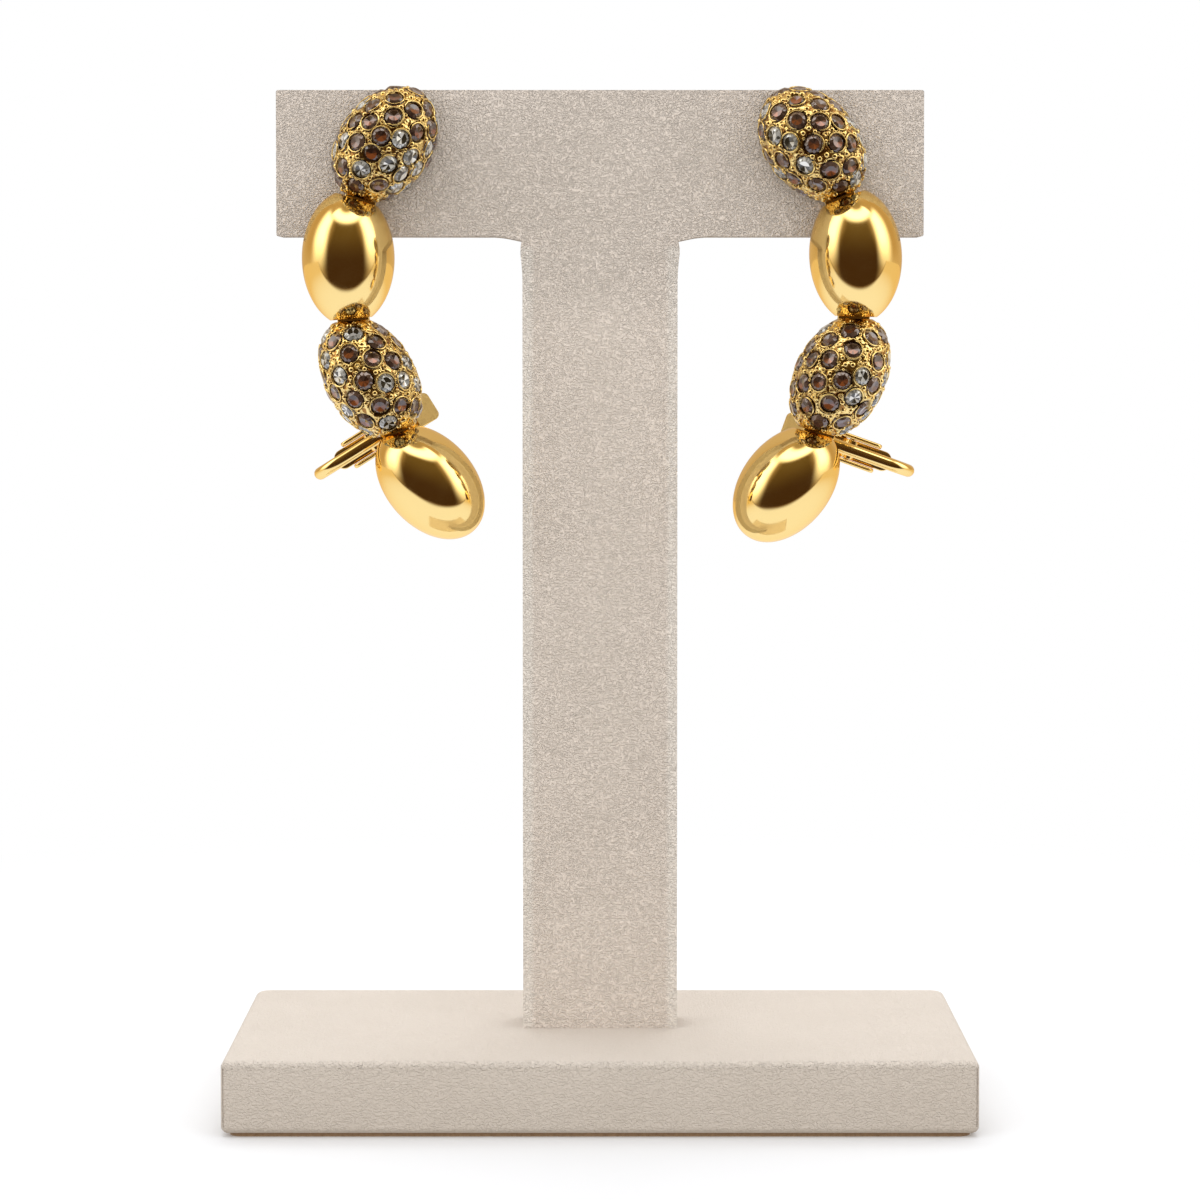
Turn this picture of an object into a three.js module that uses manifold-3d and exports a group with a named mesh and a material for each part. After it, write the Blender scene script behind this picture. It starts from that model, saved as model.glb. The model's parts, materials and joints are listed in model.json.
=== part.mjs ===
// A pair of ear cuffs pinned to a T-shaped display stand.
// Each cuff is a curved row of four egg-shaped domes, paved and polished by turns, soldered along a back bar.
// A sprung clip behind the lower two domes grips the edge of the ear, and a post behind the top dome pins the
// cuff to the stand.
// Millimetres, +Z up, front towards -Y, origin at the middle of the stand's underside.

import * as THREE from "three";
import { mergeVertices } from "three/addons/utils/BufferGeometryUtils.js";
import Module from "manifold-3d";

const wasm = await Module();
wasm.setup();

const gap = 0.3; // between pieces that are fastened together

// ---- Driving dimensions ----

const pad = { thickness: 0.5, inset: 1 };
const base = { width: 101, depth: 51.4, height: 9.4, corner: 2, edge: 1.1 };
const board = { barWidth: 89.2, barHeight: 20.1, stemWidth: 21.4, height: 129.8, thickness: 8 };
const boardPlace = { front: -3.1, corner: 1.7, innerCorner: 2.2, edge: 1.1 }; // front is its face

// The domes, from the top of the ear down. Places are measured from the middle of the top dome, tilt is the lean
// of the long axis to the right in degrees, and high is how far the dome stands forward of its flat back.
const domes = [
  { name: "pave_dome_top", paved: true, x: 0, z: 0, tilt: 36.6, long: 17.4, wide: 12.5, high: 8.3 },
  { name: "smooth_dome_upper", paved: false, x: -5.15, z: -15.54, tilt: -0.4, long: 18.6, wide: 12.7, high: 8.7 },
  { name: "pave_dome_lower", paved: true, x: -2.13, z: -31.98, tilt: -30.5, long: 18.1, wide: 12.2, high: 8.3 },
  { name: "smooth_dome_bottom", paved: false, x: 6.01, z: -46.3, tilt: -41.4, long: 18, wide: 12.3, high: 8.6 },
];
const shell = { wall: 1, skirt: 0.5, tuck: 0.97, fullness: 2.05 }; // tuck is the back rim's size over the widest
// Where each dome is cut flat against the next one; tilt is the lean of the cut's upward normal.
const seams = [
  { x: -3.54, z: -7.5, tilt: 18.3 },
  { x: -4.56, z: -23.97, tilt: -5 },
  { x: 1.04, z: -39.56, tilt: -18 },
];

const bar = { width: 4.4, thickness: 1, reach: 3 }; // reach is how far it runs past the end domes' middles
const post = { radius: 0.45, length: 6, holeRadius: 0.75, holeDepth: 6.8 };

// Along the clip, from where it crosses the bar: the arm bends back at the tip, the spring tongue and the lever's
// heel end short of it, the lever turns on the pin, and its tab ends on the other side of the bar.
const clip = { tip: -14.5, tongue: -11.4, heel: -9.4, pin: -5.2, rimEnd: -1.2, tabStart: 1.4, tab: 4.4 };
const arm = { radius: 0.8, span: 6.6, overlap: 0.1, knuckleRadius: 1, knuckleWidth: 2.3 };
const tongue = { width: 2.3, thickness: 0.5, front: 0.25, corner: 1.1 };
// front and floor are the rim's height and the trough's depth, before and behind the pin; the tab leans back.
const lever = { width: 4.2, wall: 0.65, front: 1, floor: 1.3, tabLean: 2.6, tabCorner: 0.8 };
const leverBends = { heelFront: 0.9, rimEnd: 1, tabFold: 0.3, heelBack: 1.2 };
const pin = { radius: 0.35, clearance: 0.15, stickOut: 0.25 };

// Each cuff hangs by its post at x and z and swings by some degrees. Its clip crosses the bar at a place in the
// cuff's own frame, and rises to the right by turn degrees.
const cuffs = [
  { side: "left", x: -29.39, z: 132.7, swing: 0, mirrored: false, crossing: { x: 2.11, z: -38.1, turn: 32 } },
  { side: "right", x: 29.05, z: 132.7, swing: -3.2, mirrored: true, crossing: { x: 1.32, z: -40.3, turn: 23 } },
];

// How many flat facets stand for each curve.
const facets = { dome: 28, domeRings: 7, hollow: 18, hollowRings: 4, corner: 4, edge: 3, rod: 12, pin: 16, bend: 24 };
const barSteps = 24;

// ---- Worked out from those ----

const baseBottom = pad.thickness + gap;
const boardBottom = baseBottom + base.height + gap;
const barMiddle = gap + bar.thickness / 2;
const barBack = gap + bar.thickness;
const armFront = gap + arm.radius; // middle of the arm's front leg
const pinDepth = armFront + arm.span;
const cuffBack = boardPlace.front - gap - barBack; // where the domes' flat backs stand

// ---- Materials ----

const leatherette = new THREE.MeshStandardMaterial({ color: 0xd8ccbf, roughness: 0.7, metalness: 0 });
const brownLining = new THREE.MeshStandardMaterial({ color: 0x5b3c22, roughness: 0.9, metalness: 0 });
const polishedGold = new THREE.MeshStandardMaterial({ color: 0xe0b04e, roughness: 0.12, metalness: 1 });
const pavedGold = new THREE.MeshStandardMaterial({ color: 0x9c7442, roughness: 0.3, metalness: 1 });

// ---- Shaping helpers ----

const radians = THREE.MathUtils.degToRad;

function solidOf(geometry) {
  const bare = geometry.index ? geometry.toNonIndexed() : geometry.clone();
  bare.deleteAttribute("normal");
  bare.deleteAttribute("uv");
  const merged = mergeVertices(bare, 1e-4);
  const vertProperties = merged.attributes.position.array;
  const triVerts = new Uint32Array(merged.index.array);
  return new wasm.Manifold(new wasm.Mesh({ numProp: 3, vertProperties, triVerts }));
}

function geometryOf(solid) {
  const { vertProperties, triVerts } = solid.getMesh();
  const geometry = new THREE.BufferGeometry();
  geometry.setAttribute("position", new THREE.BufferAttribute(vertProperties, 3));
  geometry.setIndex(new THREE.BufferAttribute(triVerts, 1));
  geometry.computeVertexNormals();
  return geometry;
}

function joined(geometries) {
  return geometries.map(solidOf).reduce((whole, piece) => whole.add(piece));
}

function mesh(name, geometry, material) {
  const made = new THREE.Mesh(geometry, material);
  made.name = name;
  return made;
}

// A closed outline through corners in order, each rounded by its own radius.
function roundedOutline(corners) {
  const shape = new THREE.Shape();
  corners.forEach(({ x, y, radius }, index) => {
    const corner = new THREE.Vector2(x, y);
    const before = corners.at(index - 1);
    const after = corners[(index + 1) % corners.length];
    const towards = (other) => new THREE.Vector2(other.x, other.y).sub(corner).setLength(radius).add(corner);
    const [start, end] = radius > 0 ? [towards(before), towards(after)] : [corner, corner];
    if (index === 0) shape.moveTo(start.x, start.y);
    else shape.lineTo(start.x, start.y);
    if (radius > 0) shape.quadraticCurveTo(x, y, end.x, end.y);
  });
  shape.closePath();
  return shape;
}

function roundedRectangle(left, right, bottom, top, radius) {
  return roundedOutline([
    { x: left, y: bottom, radius },
    { x: right, y: bottom, radius },
    { x: right, y: top, radius },
    { x: left, y: top, radius },
  ]);
}

// A prism of a shape; an edge radius rounds both ends without changing its outline or thickness.
function prism(shape, thickness, edge = 0) {
  const rounding = { bevelThickness: edge, bevelSize: edge, bevelOffset: -edge, bevelSegments: facets.edge };
  return new THREE.ExtrudeGeometry(shape, {
    depth: thickness - 2 * edge,
    curveSegments: facets.corner,
    bevelEnabled: edge > 0,
    ...rounding,
  }).translate(0, 0, edge);
}

// A shape drawn across X and Z, made solid from y = front backwards.
function slab(shape, front, thickness, edge = 0) {
  return prism(shape, thickness, edge).rotateX(Math.PI / 2).translate(0, front + thickness, 0);
}

function box(left, right, front, back, bottom, top) {
  return new THREE.BoxGeometry(right - left, back - front, top - bottom).translate(
    (left + right) / 2,
    (front + back) / 2,
    (bottom + top) / 2,
  );
}

// Round bars along each axis: from y = front backwards, from x = left to the right, and across the middle in Z.
function rodBack(radius, front, length) {
  return new THREE.CylinderGeometry(radius, radius, length, facets.rod).translate(0, front + length / 2, 0);
}

function rodRight(radius, left, length) {
  return new THREE.CylinderGeometry(radius, radius, length, facets.rod)
    .rotateZ(Math.PI / 2)
    .translate(left + length / 2, 0, 0);
}

function rodAcross(radius, length) {
  return new THREE.CylinderGeometry(radius, radius, length, facets.pin).rotateX(Math.PI / 2);
}

// ---- Stand ----

function makePad() {
  const [side, end] = [base.width / 2 - pad.inset, base.depth / 2 - pad.inset];
  return mesh("base_pad", prism(roundedRectangle(-side, side, -end, end, base.corner), pad.thickness), brownLining);
}

function makeBase() {
  const [side, end] = [base.width / 2, base.depth / 2];
  const outline = roundedRectangle(-side, side, -end, end, base.corner);
  const made = mesh("stand_base", prism(outline, base.height, base.edge), leatherette);
  made.position.z = baseBottom;
  return made;
}

function boardOutline() {
  const [bar, stem, under, top] = [
    board.barWidth / 2,
    board.stemWidth / 2,
    board.height - board.barHeight,
    board.height,
  ];
  const { corner, innerCorner } = boardPlace;
  return roundedOutline([
    { x: -stem, y: 0, radius: 0 },
    { x: stem, y: 0, radius: 0 },
    { x: stem, y: under, radius: innerCorner },
    { x: bar, y: under, radius: corner },
    { x: bar, y: top, radius: corner },
    { x: -bar, y: top, radius: corner },
    { x: -bar, y: under, radius: corner },
    { x: -stem, y: under, radius: innerCorner },
  ]);
}

function makeBoard() {
  const whole = solidOf(slab(boardOutline(), 0, board.thickness, boardPlace.edge));
  const drilled = cuffs.reduce((left, { x, z }) => {
    const hole = rodBack(post.holeRadius, -gap, post.holeDepth + gap).translate(x, 0, z - boardBottom);
    return left.subtract(solidOf(hole));
  }, whole);
  const made = mesh("stand_board", geometryOf(drilled), leatherette);
  made.position.set(0, boardPlace.front, boardBottom);
  return made;
}

// ---- Domes ----

// Half an egg with its flat side at y = 0 and its crown towards -Y, leaning as the dome does.
function halfEgg(dome, inset, around, rings) {
  const high = dome.high - inset;
  const skirt = shell.skirt / high;
  const profile = [];
  for (let ring = 0; ring <= rings; ring++) {
    const angle = (ring / rings) * (Math.PI / 2);
    const radius = ring === 0 ? 0 : Math.sin(angle) ** (2 / shell.fullness);
    const forward = ring === rings ? 0 : Math.cos(angle) ** (2 / shell.fullness);
    profile.push(new THREE.Vector2(radius, -skirt - forward * (1 - skirt)));
  }
  profile.push(new THREE.Vector2(shell.tuck, 0), new THREE.Vector2(0, 0));
  return new THREE.LatheGeometry(profile, around)
    .scale(dome.wide / 2 - inset, high, dome.long / 2 - inset)
    .rotateY(radians(dome.tilt))
    .translate(dome.x, 0, dome.z);
}

// All that lies past a seam, upwards for side 1 and downwards for side -1, starting short of it by a distance.
function pastSeam(seam, side, short) {
  const size = 60; // more than a whole dome
  const start = size / 2 - short;
  return new THREE.BoxGeometry(size, size, size)
    .translate(0, 0, side * start)
    .rotateY(radians(seam.tilt))
    .translate(seam.x, 0, seam.z);
}

function makeDome(dome, index) {
  const above = index > 0 ? [{ seam: seams[index - 1], side: 1 }] : [];
  const below = index < seams.length ? [{ seam: seams[index], side: -1 }] : [];
  let outside = solidOf(halfEgg(dome, 0, facets.dome, facets.domeRings));
  let hollow = solidOf(halfEgg(dome, shell.wall, facets.hollow, facets.hollowRings));
  for (const { seam, side } of [...above, ...below]) {
    outside = outside.subtract(solidOf(pastSeam(seam, side, gap / 2)));
    hollow = hollow.subtract(solidOf(pastSeam(seam, side, gap / 2 + shell.wall)));
  }
  return geometryOf(outside.subtract(hollow));
}

// ---- Back bar with its post, arm and hinge knuckle ----

function barRoute() {
  const [first, last] = [domes[0], domes.at(-1)];
  const pastEnd = (dome, distance) => ({
    x: dome.x + distance * Math.sin(radians(dome.tilt)),
    z: dome.z + distance * Math.cos(radians(dome.tilt)),
  });
  const middles = domes.flatMap((dome, index) => (index < seams.length ? [dome, seams[index]] : [dome]));
  const route = [pastEnd(first, bar.reach), ...middles, pastEnd(last, -bar.reach)];
  return new THREE.CatmullRomCurve3(route.map(({ x, z }) => new THREE.Vector3(x, barMiddle, z)));
}

function makeBar() {
  const route = barRoute();
  const section = roundedRectangle(-bar.thickness / 2, bar.thickness / 2, -bar.width / 2, bar.width / 2, 0);
  const strip = new THREE.ExtrudeGeometry(section, { steps: barSteps, extrudePath: route });
  const ends = [route.getPoint(0), route.getPoint(1)].map(({ x, z }) =>
    rodBack(bar.width / 2, gap, bar.thickness).translate(x, 0, z),
  );
  return joined([strip, ...ends, rodBack(post.radius, barMiddle, bar.thickness / 2 + post.length)]);
}

// From the clip's own frame, with X along it, into the cuff's.
function acrossCuff(geometry, crossing) {
  return geometry.rotateY(radians(-crossing.turn)).translate(crossing.x, 0, crossing.z);
}

function makeArm() {
  const bend = arm.span / 2;
  const bendMiddle = clip.tip + arm.radius + bend;
  const depthMiddle = armFront + bend;
  const ring = solidOf(
    new THREE.TorusGeometry(bend, arm.radius, facets.rod, facets.bend).translate(bendMiddle, depthMiddle, 0),
  ).subtract(solidOf(box(bendMiddle, -clip.tip, 0, 2 * arm.span, -arm.span, arm.span)));
  const legStart = bendMiddle - arm.overlap;
  const frontLeg = rodRight(arm.radius, legStart, -legStart).translate(0, armFront, 0);
  const rearLeg = rodRight(arm.radius, legStart, clip.pin - legStart).translate(0, pinDepth, 0);
  const leafSide = tongue.width / 2;
  const leafShape = roundedRectangle(clip.tongue, clip.pin, -leafSide, leafSide, tongue.corner);
  const leaf = slab(leafShape, pinDepth + tongue.front, tongue.thickness);
  const knuckle = rodAcross(arm.knuckleRadius, arm.knuckleWidth).translate(clip.pin, pinDepth, 0);
  return [geometryOf(ring), frontLeg, rearLeg, leaf, knuckle];
}

function makeBackBar(crossing) {
  const bore = rodAcross(pin.radius + pin.clearance, lever.width).translate(clip.pin, pinDepth, 0);
  const metal = makeBar().add(joined(makeArm().map((piece) => acrossCuff(piece, crossing))));
  return geometryOf(metal.subtract(solidOf(acrossCuff(bore, crossing))));
}

// ---- Clip lever and its pin, in a frame at the pin with X along the clip ----

function makeLever() {
  const { width, wall, front, floor, tabLean, tabCorner } = lever;
  const [heel, rimEnd, tabStart, end] = [clip.heel, clip.rimEnd, clip.tabStart, clip.tab].map((x) => x - clip.pin);
  const [side, back] = [width / 2, floor + wall];
  // Seen from the side, with x along the clip and y towards the front.
  const profile = roundedOutline([
    { x: heel, y: front, radius: leverBends.heelFront },
    { x: rimEnd, y: front, radius: leverBends.rimEnd },
    { x: tabStart, y: -floor, radius: leverBends.tabFold },
    { x: end, y: -floor - tabLean, radius: 0 },
    { x: end, y: -back - tabLean, radius: 0 },
    { x: tabStart, y: -back, radius: leverBends.tabFold },
    { x: heel, y: -back, radius: leverBends.heelBack },
  ]);
  const fromTheSide = prism(profile, width).rotateX(Math.PI).translate(0, 0, side);
  const plan = roundedOutline([
    { x: heel, y: -side, radius: 0 },
    { x: end, y: -side, radius: tabCorner },
    { x: end, y: side, radius: tabCorner },
    { x: heel, y: side, radius: 0 },
  ]);
  const fromBehind = slab(plan, -front, front + back + tabLean);
  const inner = side - wall;
  const trough = box(2 * heel, 2 * end, -2 * front, floor, -inner, inner);
  const knuckleRoom = box(2 * heel, arm.knuckleRadius - pin.clearance, 0, 2 * back, -inner, inner);
  const pinHole = rodAcross(pin.radius + pin.clearance, 2 * width);
  const cuts = joined([trough, knuckleRoom, pinHole]);
  return geometryOf(solidOf(fromTheSide).intersect(solidOf(fromBehind)).subtract(cuts));
}

function makePin() {
  return rodAcross(pin.radius, lever.width + 2 * pin.stickOut);
}

function makeClip(side, crossing) {
  const group = new THREE.Group();
  group.position.set(crossing.x, pinDepth, crossing.z);
  group.rotation.y = radians(-crossing.turn);
  const pieces = [
    mesh(`clip_lever_${side}`, makeLever(), polishedGold),
    mesh(`hinge_pin_${side}`, makePin(), polishedGold),
  ];
  for (const piece of pieces) piece.position.x = clip.pin;
  group.add(...pieces);
  return group;
}

// ---- Assembly ----

function makeCuff({ side, x, z, swing, mirrored, crossing }) {
  const cuff = new THREE.Group();
  domes.forEach((dome, index) => {
    const metal = dome.paved ? pavedGold : polishedGold;
    cuff.add(mesh(`${dome.name}_${side}`, makeDome(dome, index), metal));
  });
  cuff.add(mesh(`back_bar_${side}`, makeBackBar(crossing), polishedGold), makeClip(side, crossing));
  cuff.position.set(x, cuffBack, z);
  cuff.rotation.y = radians(swing);
  cuff.scale.x = mirrored ? -1 : 1;
  return cuff;
}

const model = new THREE.Group();
model.add(makePad(), makeBase(), makeBoard(), ...cuffs.map(makeCuff));

export default model;
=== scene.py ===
# A pair of paved and polished ear cuffs pinned to a T-shaped stand.
import json
import math
import random

import bmesh
import bpy
from mathutils import Matrix, Vector, noise
from mathutils.bvhtree import BVHTree
from mathutils.kdtree import KDTree


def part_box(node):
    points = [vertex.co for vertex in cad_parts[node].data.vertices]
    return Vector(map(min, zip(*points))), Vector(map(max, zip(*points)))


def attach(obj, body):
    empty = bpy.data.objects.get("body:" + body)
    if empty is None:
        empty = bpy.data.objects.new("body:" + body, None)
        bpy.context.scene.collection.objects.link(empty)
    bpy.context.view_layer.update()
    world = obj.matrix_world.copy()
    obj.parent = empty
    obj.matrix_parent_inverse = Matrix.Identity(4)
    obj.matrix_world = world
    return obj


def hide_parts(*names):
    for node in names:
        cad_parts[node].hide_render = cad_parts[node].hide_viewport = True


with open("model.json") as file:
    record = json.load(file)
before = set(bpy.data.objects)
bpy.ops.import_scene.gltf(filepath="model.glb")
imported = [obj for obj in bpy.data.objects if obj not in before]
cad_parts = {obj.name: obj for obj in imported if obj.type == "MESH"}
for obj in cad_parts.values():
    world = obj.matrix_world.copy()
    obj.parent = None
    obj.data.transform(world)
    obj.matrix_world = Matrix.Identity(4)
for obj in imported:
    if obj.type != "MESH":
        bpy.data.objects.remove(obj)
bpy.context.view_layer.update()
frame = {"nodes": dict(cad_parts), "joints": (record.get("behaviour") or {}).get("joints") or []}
scene = bpy.context.scene
chance = random.Random(11)
millimetre = 0.001
print("frame loaded:", len(frame["nodes"]), "nodes")


def addObject(name, data):
    obj = bpy.data.objects.new(name, data)
    scene.collection.objects.link(obj)
    return obj


# Makes a mesh of a bmesh, which is used up.
def meshFrom(bm, name):
    mesh = bpy.data.meshes.new(name)
    bm.to_mesh(mesh)
    bm.free()
    return mesh


def shifted(x, y, z):
    return Matrix.Translation((x, y, z))


def turned(degrees, axis="Y"):
    return Matrix.Rotation(math.radians(degrees), 4, axis)


# Camera, room and light

camera = {"place": (0, -0.4925, 0.1089), "tiltDown": 2.61, "lens": 106.31, "sensor": 36, "shift": -0.1}


def setCamera():
    data = bpy.data.cameras.new("camera")
    data.lens = camera["lens"]
    data.sensor_width = camera["sensor"]
    data.shift_y = camera["shift"]
    viewer = addObject("camera", data)
    viewer.location = camera["place"]
    viewer.rotation_euler = (math.radians(90 - camera["tiltDown"]), 0, 0)
    scene.camera = viewer


setCamera()

# What the polished metal mirrors: a dark room in front, softboxes at the sides and above, warm walls
# behind. Angles in degrees, azimuth from straight in front, elevation above the horizon.
room = {
    "white": (1, 1, 1),
    "darkLow": (0.056, 0.027, 0.01),
    "darkHigh": (0.155, 0.102, 0.034),
    "darkFade": (-8, 52),
    "darkReach": {"low": 72, "high": 54, "from": -15, "to": 45},
    "darkTop": 52,
    "darkBlur": 18,
    "topBox": {"light": 2.4, "from": 54, "to": 74, "reach": 84},
    "overhead": (0.36, 0.28, 0.16),
    "sideBox": {"light": 2.4, "from": 66, "to": 104, "low": -16, "lowEnd": 26, "high": 52, "blur": 13},
    "boxBlue": 0.96,
    "low": (0.66, 0.52, 0.35),
    "lowFade": (-6, 8),
    "aside": (0.54, 0.38, 0.2),
    "behind": (0.64, 0.53, 0.42),
    "behindFade": (120, 160),
    "blur": 6,
    "daylight": {"above": 1.15, "front": 0.9, "behind": 1.0, "aboveFade": (5, 60), "backFade": (-0.5, 0.5)},
}


# Lays out shader nodes one after another.
class NodeBench:
    def __init__(self, tree):
        self.tree = tree
        self.count = 0

    def add(self, kind, inputs=None, **settings):
        node = self.tree.nodes.new("ShaderNode" + kind)
        node.location = (-200 - 180 * (self.count % 12), 300 - 200 * (self.count // 12))
        self.count += 1
        for name, value in settings.items():
            setattr(node, name, value)
        for name, value in (inputs or {}).items():
            self.set(node.inputs[name], value)
        return node

    # Takes another node's output or a plain value, a colour as three numbers.
    def set(self, socket, value):
        if isinstance(value, bpy.types.NodeSocket):
            self.tree.links.new(value, socket)
        elif socket.type == "RGBA":
            socket.default_value = (*value, 1)
        else:
            socket.default_value = value

    def finish(self, values):
        shader = self.tree.nodes["Principled BSDF"]
        for name, value in values.items():
            self.set(shader.inputs[name], value)

    def place(self):
        return self.add("TexCoord").outputs["Object"]

    def split(self, place):
        return self.add("SeparateXYZ", {0: place}).outputs

    def maths(self, operation, first, second=0.0, third=0.0):
        return self.add("Math", {0: first, 1: second, 2: third}, operation=operation).outputs[0]

    def times(self, *values):
        result = values[0]
        for value in values[1:]:
            result = self.maths("MULTIPLY", result, value)
        return result

    def ramp(self, value, low, high, start=0.0, end=1.0):
        inputs = {"Value": value, "From Min": low, "From Max": high, "To Min": start, "To Max": end}
        return self.add("MapRange", inputs, interpolation_type="SMOOTHSTEP").outputs["Result"]

    # Rises or falls softly round an edge, or rises at one and falls at the next.
    def rise(self, value, edge, blur):
        return self.ramp(value, edge - blur, edge + blur)

    def fall(self, value, edge, blur):
        return self.ramp(value, edge - blur, edge + blur, 1.0, 0.0)

    def band(self, value, low, high, blur):
        return self.times(self.rise(value, low, blur), self.fall(value, high, blur))

    def mix(self, factor, first, second):
        node = self.add("Mix", data_type="RGBA")
        for number, value in ((0, factor), (6, first), (7, second)):
            self.set(node.inputs[number], value)
        return node.outputs[2]

    def noise(self, place, scale, detail, output="Fac"):
        return self.add("TexNoise", {"Vector": place, "Scale": scale, "Detail": detail}).outputs[output]

    def bump(self, height, distance, **more):
        return self.add("Bump", {"Height": height, "Distance": distance, **more}).outputs["Normal"]

    def light(self, kind, colour, strength=1.0):
        return self.add(kind, {"Color": colour, "Strength": strength}).outputs[0]

    def mixShader(self, factor, first, second):
        return self.add("MixShader", {0: factor, 1: first, 2: second}).outputs[0]

    # One shader for what the camera sees, one for what metal mirrors and one for the light on the rest.
    def byRay(self, seen, mirrored, rest):
        rays = self.add("LightPath").outputs
        unseen = self.mixShader(rays["Is Glossy Ray"], rest, mirrored)
        return self.mixShader(rays["Is Camera Ray"], unseen, seen)


def newMaterial(name, values):
    material = bpy.data.materials.new(name)
    material.use_nodes = True
    bench = NodeBench(material.node_tree)
    bench.finish(values)
    return material, bench


def roomColour(bench, azimuth, elevation):
    blur, dark, top, side = room["blur"], room["darkReach"], room["topBox"], room["sideBox"]

    def lit(box):
        return (box["light"], box["light"], box["light"] * room["boxBlue"])

    colour = bench.mix(bench.ramp(azimuth, *room["behindFade"]), room["aside"], room["behind"])
    colour = bench.mix(bench.ramp(elevation, *room["lowFade"]), room["low"], colour)
    reach = bench.ramp(elevation, dark["from"], dark["to"], dark["low"], dark["high"])
    pastReach = bench.maths("SUBTRACT", azimuth, reach)
    isDark = bench.times(bench.fall(pastReach, 0, room["darkBlur"]),
                         bench.fall(elevation, room["darkTop"], blur))
    darkness = bench.mix(bench.ramp(elevation, *room["darkFade"]), room["darkLow"], room["darkHigh"])
    colour = bench.mix(isDark, colour, darkness)
    isOver = bench.ramp(elevation, top["to"] - blur, top["to"] + 3 * blur)
    colour = bench.mix(isOver, colour, room["overhead"])
    inTop = bench.times(bench.band(elevation, top["from"], top["to"], blur),
                        bench.fall(azimuth, top["reach"], blur))
    colour = bench.mix(inTop, colour, lit(top))
    inSide = bench.times(
        bench.band(azimuth, side["from"], side["to"], side["blur"]),
        bench.ramp(elevation, side["low"], side["lowEnd"]),
        bench.fall(elevation, side["high"], blur),
    )
    return bench.mix(inSide, colour, lit(side))


def makeRoom():
    world = bpy.data.worlds.new("room")
    scene.world = world
    world.use_nodes = True
    world.node_tree.nodes.clear()
    bench = NodeBench(world.node_tree)
    across, along, up = bench.split(bench.add("TexCoord").outputs["Generated"])
    toFront = bench.maths("MULTIPLY", along, -1.0)
    azimuth = bench.maths("DEGREES", bench.maths("ABSOLUTE", bench.maths("ARCTAN2", across, toFront)))
    elevation = bench.maths("DEGREES", bench.maths("ARCSINE", up))
    daylight = room["daylight"]
    level = bench.ramp(along, *daylight["backFade"], daylight["front"], daylight["behind"])
    above = bench.ramp(elevation, *daylight["aboveFade"])
    level = bench.maths("ADD", bench.times(level, bench.maths("SUBTRACT", 1.0, above)),
                        bench.times(above, daylight["above"]))
    mirrored = bench.light("Background", roomColour(bench, azimuth, elevation))
    white = bench.light("Background", room["white"])
    soft = bench.light("Background", room["white"], level)
    output = bench.add("OutputWorld", {"Surface": bench.byRay(white, mirrored, soft)})
    output.is_active_output = True


makeRoom()

# The floor glows white away from the stand, so that it meets the white background without a line. Metal
# mirrors it cool and bright near the stand and fading warm with distance, and it throws little light
# back up at the stand.
floor = {
    "front": -0.12, "back": 3, "side": 2.5, "colour": (0.885, 0.89, 0.905), "clear": (0.09, 0.25),
    "bounce": 0.45, "bounceTint": (1.0, 0.91, 0.79),
    "mirroredNear": (1.0, 1.03, 1.16), "mirroredFar": (0.86, 0.7, 0.46), "mirroredFade": (0.08, 0.6),
    "mirroredFront": (0.16, 0.095, 0.04), "frontFade": (-0.118, -0.088), "roughness": 0.9, "specular": 0.1,
}


def makeFloor():
    bm = bmesh.new()
    bmesh.ops.create_grid(bm, x_segments=1, y_segments=1, size=1)
    front, back = floor["front"], floor["back"]
    bmesh.ops.scale(bm, vec=(floor["side"], (back - front) / 2, 1), verts=bm.verts)
    bmesh.ops.translate(bm, vec=(0, (front + back) / 2, 0), verts=bm.verts)
    obj = addObject("floor", meshFrom(bm, "floor"))
    material, bench = newMaterial("floor", {"Base Color": floor["colour"], "Roughness": floor["roughness"],
                                            "Specular IOR Level": floor["specular"]})
    nodes = material.node_tree.nodes
    place = bench.place()
    away = bench.add("VectorMath", {0: place}, operation="LENGTH").outputs["Value"]
    seen = bench.mixShader(bench.ramp(away, *floor["clear"]), nodes["Principled BSDF"].outputs[0],
                           bench.light("Emission", room["white"]))
    tint = bench.mix(bench.ramp(away, *floor["mirroredFade"]), floor["mirroredNear"], floor["mirroredFar"])
    fromFront = bench.ramp(bench.split(place)[1], *floor["frontFade"])
    tint = bench.mix(fromFront, floor["mirroredFront"], tint)
    bounced = bench.light("Emission", floor["bounceTint"], floor["bounce"])
    whole = bench.byRay(seen, bench.light("Emission", tint), bounced)
    bench.set(nodes["Material Output"].inputs["Surface"], whole)
    obj.data.materials.append(material)


makeFloor()

# Soft lamps that shape the stand; the metal mirrors the room above instead of them.
lamps = [
    {"name": "overhead", "place": (0, 0.3, 0.72), "aim": (0, 0, 0.06), "size": 0.5, "watts": 1.1},
    {"name": "frontLeft", "place": (-0.55, -0.6, 0.4), "aim": (0, 0, 0.07), "size": 0.4, "watts": 0.5},
    {"name": "frontRight", "place": (0.55, -0.6, 0.4), "aim": (0, 0, 0.07), "size": 0.4, "watts": 0.3},
]


def makeLamps():
    for lamp in lamps:
        data = bpy.data.lights.new(lamp["name"], "AREA")
        data.shape = "DISK"
        data.size = lamp["size"]
        data.energy = lamp["watts"]
        obj = addObject(lamp["name"], data)
        obj.location = lamp["place"]
        aim = Vector(lamp["aim"]) - Vector(lamp["place"])
        obj.rotation_euler = aim.to_track_quat("-Z", "Y").to_euler()
        obj.visible_glossy = False


makeLamps()
scene.view_settings.view_transform = "Standard"
print("camera, room and lamps set")


# Materials. Noise scales are counts for a metre, depths are metres.

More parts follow.
